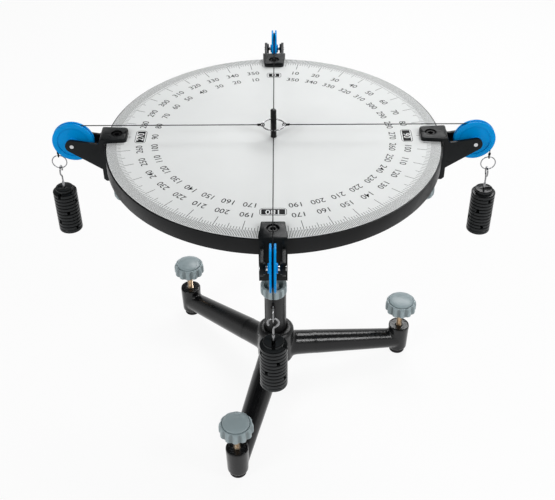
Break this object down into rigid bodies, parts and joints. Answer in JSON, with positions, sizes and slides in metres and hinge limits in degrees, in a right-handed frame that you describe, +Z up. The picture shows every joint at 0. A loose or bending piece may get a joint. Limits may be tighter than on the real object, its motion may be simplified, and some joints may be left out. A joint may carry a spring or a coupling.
{
  "type": "force table",
  "caption": "Round graduated table on a tripod stand, with rim clamps whose pulleys lead strings from a centre ring to hanging slotted masses.",
  "frame": {"origin": "on the floor under the column's axis", "axes": "+Z up, +Y to the dial's 0 (back), +X to the dial's 90 (right)"},
  "size_m": [0.5522, 0.5522, 0.439],
  "materials": {
    "base_enamel": "glossy black enamel on a casting",
    "column_black": "black paint",
    "bright_steel": "bright steel",
    "board_black": "black edge of a laminate-faced board",
    "dial_white": "printed white sheet",
    "screw_brass": "brass",
    "pin_black": "black",
    "wire_steel": "bright wire",
    "knob_grey": "satin grey moulding",
    "foot_rubber": "black rubber",
    "clamp_black": "satin black moulding",
    "pulley_blue": "glossy blue moulding",
    "pad_black": "black moulding",
    "string_dark": "dark twisted string",
    "mass_black": "satin black paint"
  },
  "bodies": {
    "stand": {"tripod_base": "base_enamel", "column": "column_black", "table_flange": "base_enamel", "flange_screws": "bright_steel", "set_screws": "bright_steel", "table_board": "board_black", "dial_sheet": "dial_white", "pin_bush": "screw_brass"},
    "centre_pin": {"centre_pin": "pin_black"},
    "centre_ring": {"centre_ring": "wire_steel"},
    "foot_1": {"foot_pad_1": "foot_rubber"},
    "level_screw_1": {"level_screw_1": "screw_brass", "level_knob_1": "knob_grey"},
    "foot_2": {"foot_pad_2": "foot_rubber"},
    "level_screw_2": {"level_screw_2": "screw_brass", "level_knob_2": "knob_grey"},
    "foot_3": {"foot_pad_3": "foot_rubber"},
    "level_screw_3": {"level_screw_3": "screw_brass", "level_knob_3": "knob_grey"},
    "clamp_back": {"clamp_frame_back": "clamp_black", "axle_back": "bright_steel", "string_back": "string_dark"},
    "pulley_back": {"pulley_back": "pulley_blue"},
    "clamp_pad_back": {"clamp_pad_back": "pad_black"},
    "link_ring_back": {"link_ring_back": "wire_steel"},
    "hanger_back": {"hanger_back": "bright_steel"},
    "masses_back": {"masses_back": "mass_black"},
    "clamp_screw_back": {"clamp_screw_back": "screw_brass", "clamp_knob_back": "knob_grey"},
    "clamp_right": {"clamp_frame_right": "clamp_black", "axle_right": "bright_steel", "string_right": "string_dark"},
    "pulley_right": {"pulley_right": "pulley_blue"},
    "clamp_pad_right": {"clamp_pad_right": "pad_black"},
    "link_ring_right": {"link_ring_right": "wire_steel"},
    "hanger_right": {"hanger_right": "bright_steel"},
    "masses_right": {"masses_right": "mass_black"},
    "clamp_screw_right": {"clamp_screw_right": "screw_brass", "clamp_knob_right": "knob_grey"},
    "clamp_front": {"clamp_frame_front": "clamp_black", "axle_front": "bright_steel", "string_front": "string_dark"},
    "pulley_front": {"pulley_front": "pulley_blue"},
    "clamp_pad_front": {"clamp_pad_front": "pad_black"},
    "link_ring_front": {"link_ring_front": "wire_steel"},
    "hanger_front": {"hanger_front": "bright_steel"},
    "masses_front": {"masses_front": "mass_black"},
    "clamp_screw_front": {"clamp_screw_front": "screw_brass", "clamp_knob_front": "knob_grey"},
    "clamp_left": {"clamp_frame_left": "clamp_black", "axle_left": "bright_steel", "string_left": "string_dark"},
    "pulley_left": {"pulley_left": "pulley_blue"},
    "clamp_pad_left": {"clamp_pad_left": "pad_black"},
    "link_ring_left": {"link_ring_left": "wire_steel"},
    "hanger_left": {"hanger_left": "bright_steel"},
    "masses_left": {"masses_left": "mass_black"},
    "clamp_screw_left": {"clamp_screw_left": "screw_brass", "clamp_knob_left": "knob_grey"}
  },
  "joints": [
    {"name": "pin_lift", "type": "slide", "parent": "stand", "child": "centre_pin", "axis": [0, 0, 1], "range_m": [0, 0.015]},
    {"name": "ring_turn", "type": "hinge", "parent": "stand", "child": "centre_ring", "pos_m": [0, 0, 0.418], "axis": [0, 0, 1], "continuous": true},
    {"name": "level_slide_1", "type": "slide", "parent": "stand", "child": "foot_1", "axis": [0, 0, -1], "range_m": [0, 0.02]},
    {"name": "level_turn_1", "type": "hinge", "parent": "foot_1", "child": "level_screw_1", "pos_m": [0.18088, 0.04745, 0], "axis": [0, 0, -1], "range_deg": [0, 5760]},
    {"name": "level_slide_2", "type": "slide", "parent": "stand", "child": "foot_2", "axis": [0, 0, -1], "range_m": [0, 0.02]},
    {"name": "level_turn_2", "type": "hinge", "parent": "foot_2", "child": "level_screw_2", "pos_m": [-0.13153, 0.13292, 0], "axis": [0, 0, -1], "range_deg": [0, 5760]},
    {"name": "level_slide_3", "type": "slide", "parent": "stand", "child": "foot_3", "axis": [0, 0, -1], "range_m": [0, 0.02]},
    {"name": "level_turn_3", "type": "hinge", "parent": "foot_3", "child": "level_screw_3", "pos_m": [-0.04934, -0.18037, 0], "axis": [0, 0, -1], "range_deg": [0, 5760]},
    {"name": "clamp_swing_back", "type": "hinge", "parent": "stand", "child": "clamp_back", "pos_m": [0, 0, 0.402], "axis": [0, 0, 1], "range_deg": [-38, 38]},
    {"name": "pulley_spin_back", "type": "hinge", "parent": "clamp_back", "child": "pulley_back", "pos_m": [0, 0.24, 0.3967], "axis": [-1, 0, 0], "continuous": true},
    {"name": "clamp_slide_back", "type": "slide", "parent": "clamp_back", "child": "clamp_pad_back", "axis": [0, 0, -1], "range_m": [0, 0.01]},
    {"name": "clamp_turn_back", "type": "hinge", "parent": "clamp_pad_back", "child": "clamp_screw_back", "pos_m": [0, 0.185, 0.3591], "axis": [0, 0, -1], "range_deg": [0, 3600]},
    {"name": "link_swing_back", "type": "hinge", "parent": "clamp_back", "child": "link_ring_back", "pos_m": [0, 0.2613, 0.3707], "axis": [-1, 0, 0], "range_deg": [-30, 8]},
    {"name": "hanger_swing_back", "type": "hinge", "parent": "link_ring_back", "child": "hanger_back", "pos_m": [0, 0.2613, 0.3531], "axis": [0, 1, 0], "range_deg": [-25, 25]},
    {"name": "mass_lift_back", "type": "slide", "parent": "hanger_back", "child": "masses_back", "axis": [0, 0, 1], "range_m": [0, 0.016]},
    {"name": "clamp_swing_right", "type": "hinge", "parent": "stand", "child": "clamp_right", "pos_m": [0, 0, 0.402], "axis": [0, 0, 1], "range_deg": [-38, 38]},
    {"name": "pulley_spin_right", "type": "hinge", "parent": "clamp_right", "child": "pulley_right", "pos_m": [0.24, 0, 0.3967], "axis": [0, 1, 0], "continuous": true},
    {"name": "clamp_slide_right", "type": "slide", "parent": "clamp_right", "child": "clamp_pad_right", "axis": [0, 0, -1], "range_m": [0, 0.01]},
    {"name": "clamp_turn_right", "type": "hinge", "parent": "clamp_pad_right", "child": "clamp_screw_right", "pos_m": [0.185, 0, 0.3591], "axis": [0, 0, -1], "range_deg": [0, 3600]},
    {"name": "link_swing_right", "type": "hinge", "parent": "clamp_right", "child": "link_ring_right", "pos_m": [0.2613, 0, 0.3712], "axis": [0, 1, 0], "range_deg": [-30, 8]},
    {"name": "hanger_swing_right", "type": "hinge", "parent": "link_ring_right", "child": "hanger_right", "pos_m": [0.2613, 0, 0.3536], "axis": [1, 0, 0], "range_deg": [-25, 25]},
    {"name": "mass_lift_right", "type": "slide", "parent": "hanger_right", "child": "masses_right", "axis": [0, 0, 1], "range_m": [0, 0.016]},
    {"name": "clamp_swing_front", "type": "hinge", "parent": "stand", "child": "clamp_front", "pos_m": [0, 0, 0.402], "axis": [0, 0, 1], "range_deg": [-38, 38]},
    {"name": "pulley_spin_front", "type": "hinge", "parent": "clamp_front", "child": "pulley_front", "pos_m": [0, -0.24, 0.3967], "axis": [1, 0, 0], "continuous": true},
    {"name": "clamp_slide_front", "type": "slide", "parent": "clamp_front", "child": "clamp_pad_front", "axis": [0, 0, -1], "range_m": [0, 0.01]},
    {"name": "clamp_turn_front", "type": "hinge", "parent": "clamp_pad_front", "child": "clamp_screw_front", "pos_m": [0, -0.185, 0.3591], "axis": [0, 0, -1], "range_deg": [0, 3600]},
    {"name": "link_swing_front", "type": "hinge", "parent": "clamp_front", "child": "link_ring_front", "pos_m": [0, -0.2613, 0.3637], "axis": [1, 0, 0], "range_deg": [-30, 8]},
    {"name": "hanger_swing_front", "type": "hinge", "parent": "link_ring_front", "child": "hanger_front", "pos_m": [0, -0.2613, 0.3461], "axis": [0, -1, 0], "range_deg": [-25, 25]},
    {"name": "mass_lift_front", "type": "slide", "parent": "hanger_front", "child": "masses_front", "axis": [0, 0, 1], "range_m": [0, 0.016]},
    {"name": "clamp_swing_left", "type": "hinge", "parent": "stand", "child": "clamp_left", "pos_m": [0, 0, 0.402], "axis": [0, 0, 1], "range_deg": [-38, 38]},
    {"name": "pulley_spin_left", "type": "hinge", "parent": "clamp_left", "child": "pulley_left", "pos_m": [-0.24, 0, 0.3967], "axis": [0, -1, 0], "continuous": true},
    {"name": "clamp_slide_left", "type": "slide", "parent": "clamp_left", "child": "clamp_pad_left", "axis": [0, 0, -1], "range_m": [0, 0.01]},
    {"name": "clamp_turn_left", "type": "hinge", "parent": "clamp_pad_left", "child": "clamp_screw_left", "pos_m": [-0.185, 0, 0.3591], "axis": [0, 0, -1], "range_deg": [0, 3600]},
    {"name": "link_swing_left", "type": "hinge", "parent": "clamp_left", "child": "link_ring_left", "pos_m": [-0.2613, 0, 0.3762], "axis": [0, -1, 0], "range_deg": [-30, 8]},
    {"name": "hanger_swing_left", "type": "hinge", "parent": "link_ring_left", "child": "hanger_left", "pos_m": [-0.2613, 0, 0.3586], "axis": [-1, 0, 0], "range_deg": [-25, 25]},
    {"name": "mass_lift_left", "type": "slide", "parent": "hanger_left", "child": "masses_left", "axis": [0, 0, 1], "range_m": [0, 0.016]}
  ],
  "couplings": [
    {"joint": "level_turn_1", "follows": "level_slide_1", "rad_per_m": 5026.5},
    {"joint": "level_turn_2", "follows": "level_slide_2", "rad_per_m": 5026.5},
    {"joint": "level_turn_3", "follows": "level_slide_3", "rad_per_m": 5026.5},
    {"joint": "clamp_turn_back", "follows": "clamp_slide_back", "rad_per_m": 6283.2},
    {"joint": "clamp_turn_right", "follows": "clamp_slide_right", "rad_per_m": 6283.2},
    {"joint": "clamp_turn_front", "follows": "clamp_slide_front", "rad_per_m": 6283.2},
    {"joint": "clamp_turn_left", "follows": "clamp_slide_left", "rad_per_m": 6283.2}
  ]
}
